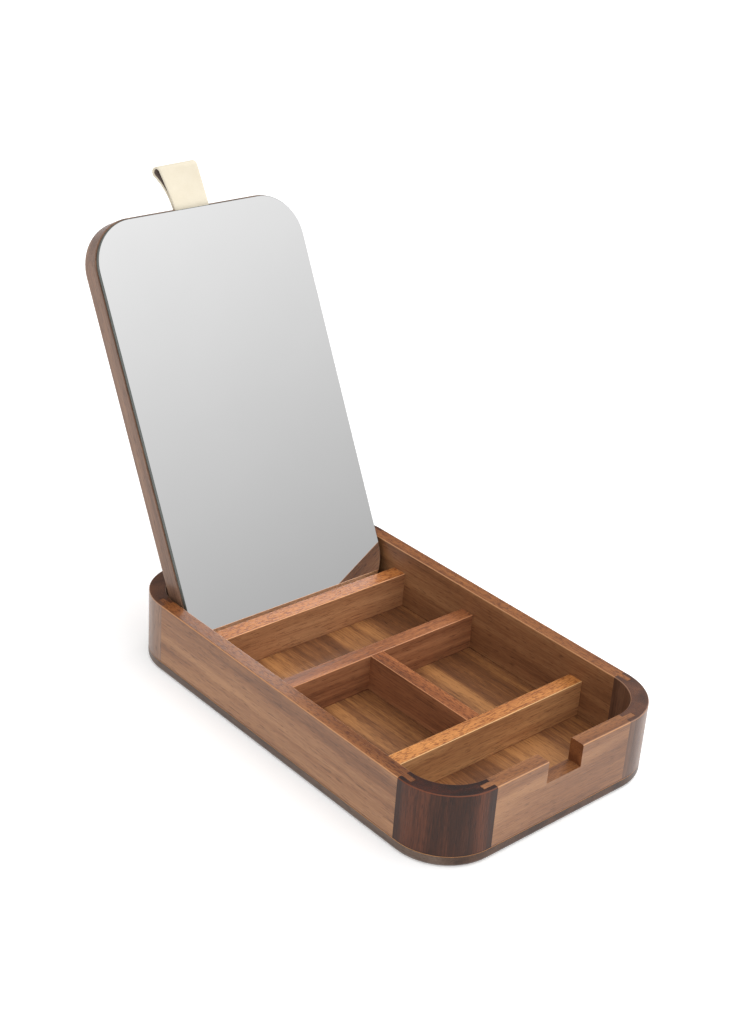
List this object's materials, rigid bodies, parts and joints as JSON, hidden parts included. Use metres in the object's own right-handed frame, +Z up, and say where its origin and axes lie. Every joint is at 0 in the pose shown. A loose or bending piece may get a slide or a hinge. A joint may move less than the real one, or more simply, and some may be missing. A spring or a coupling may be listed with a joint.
{
  "type": "jewelry box",
  "caption": "Shallow round-cornered wooden jewelry box with divided trays and an inset tilting lid, which has a full mirror inside and a leather pull loop.",
  "frame": {"origin": "middle of the box's underside, on the surface that it stands on", "axes": "+X to the right and +Y to the rear seen from the notched front wall, +Z up; the lid is open at rest"},
  "size_m": [0.1484, 0.3098, 0.2301],
  "materials": {
    "base_board": "satin varnish, grey brown edge and golden brown upper face",
    "front_panel": "satin varnish over open straight grain",
    "back_panel": "satin varnish over open straight grain",
    "left_panel": "satin varnish over open straight grain",
    "right_panel": "satin varnish over open straight grain",
    "corner_block_front_left": "satin varnish, dark upright grain with reddish streaks",
    "corner_block_front_right": "satin varnish, taupe brown upright grain",
    "corner_block_rear_left": "satin varnish, taupe brown upright grain",
    "corner_block_rear_right": "satin varnish, brown upright grain",
    "front_divider": "satin varnish over open straight grain",
    "middle_divider": "satin varnish over open straight grain",
    "rear_divider": "satin varnish over open straight grain",
    "centre_divider": "satin varnish over open straight grain",
    "lid_board": "satin varnish over open straight grain",
    "mirror_glass": "polished clear glass over silver",
    "mirror_silvering": "silver layer with grey backing paint",
    "mirror_adhesive": "thin adhesive film",
    "pull_strap": "smooth cream leather with a suede inner side",
    "hinge_pin": "drawn brass rod",
    "spacer_washer": "flat brass washer"
  },
  "bodies": {
    "box": {"back_panel": "back_panel", "base_board": "base_board", "centre_divider": "centre_divider", "corner_block_front_left": "corner_block_front_left", "corner_block_front_right": "corner_block_front_right", "corner_block_rear_left": "corner_block_rear_left", "corner_block_rear_right": "corner_block_rear_right", "front_divider": "front_divider", "front_panel": "front_panel", "hinge_pin_left": "hinge_pin", "hinge_pin_right": "hinge_pin", "left_panel": "left_panel", "middle_divider": "middle_divider", "rear_divider": "rear_divider", "right_panel": "right_panel", "spacer_washer_left": "spacer_washer", "spacer_washer_right": "spacer_washer"},
    "lid": {"lid_board": "lid_board", "mirror_glass": "mirror_glass", "mirror_silvering": "mirror_silvering", "mirror_adhesive": "mirror_adhesive", "pull_strap": "pull_strap"}
  },
  "joints": [
    {"name": "lid_hinge", "type": "hinge", "parent": "box", "child": "lid", "pos_m": [0, 0.08677, 0.03252], "axis": [1, 0, 0], "range_deg": [0, 116.8]}
  ]
}
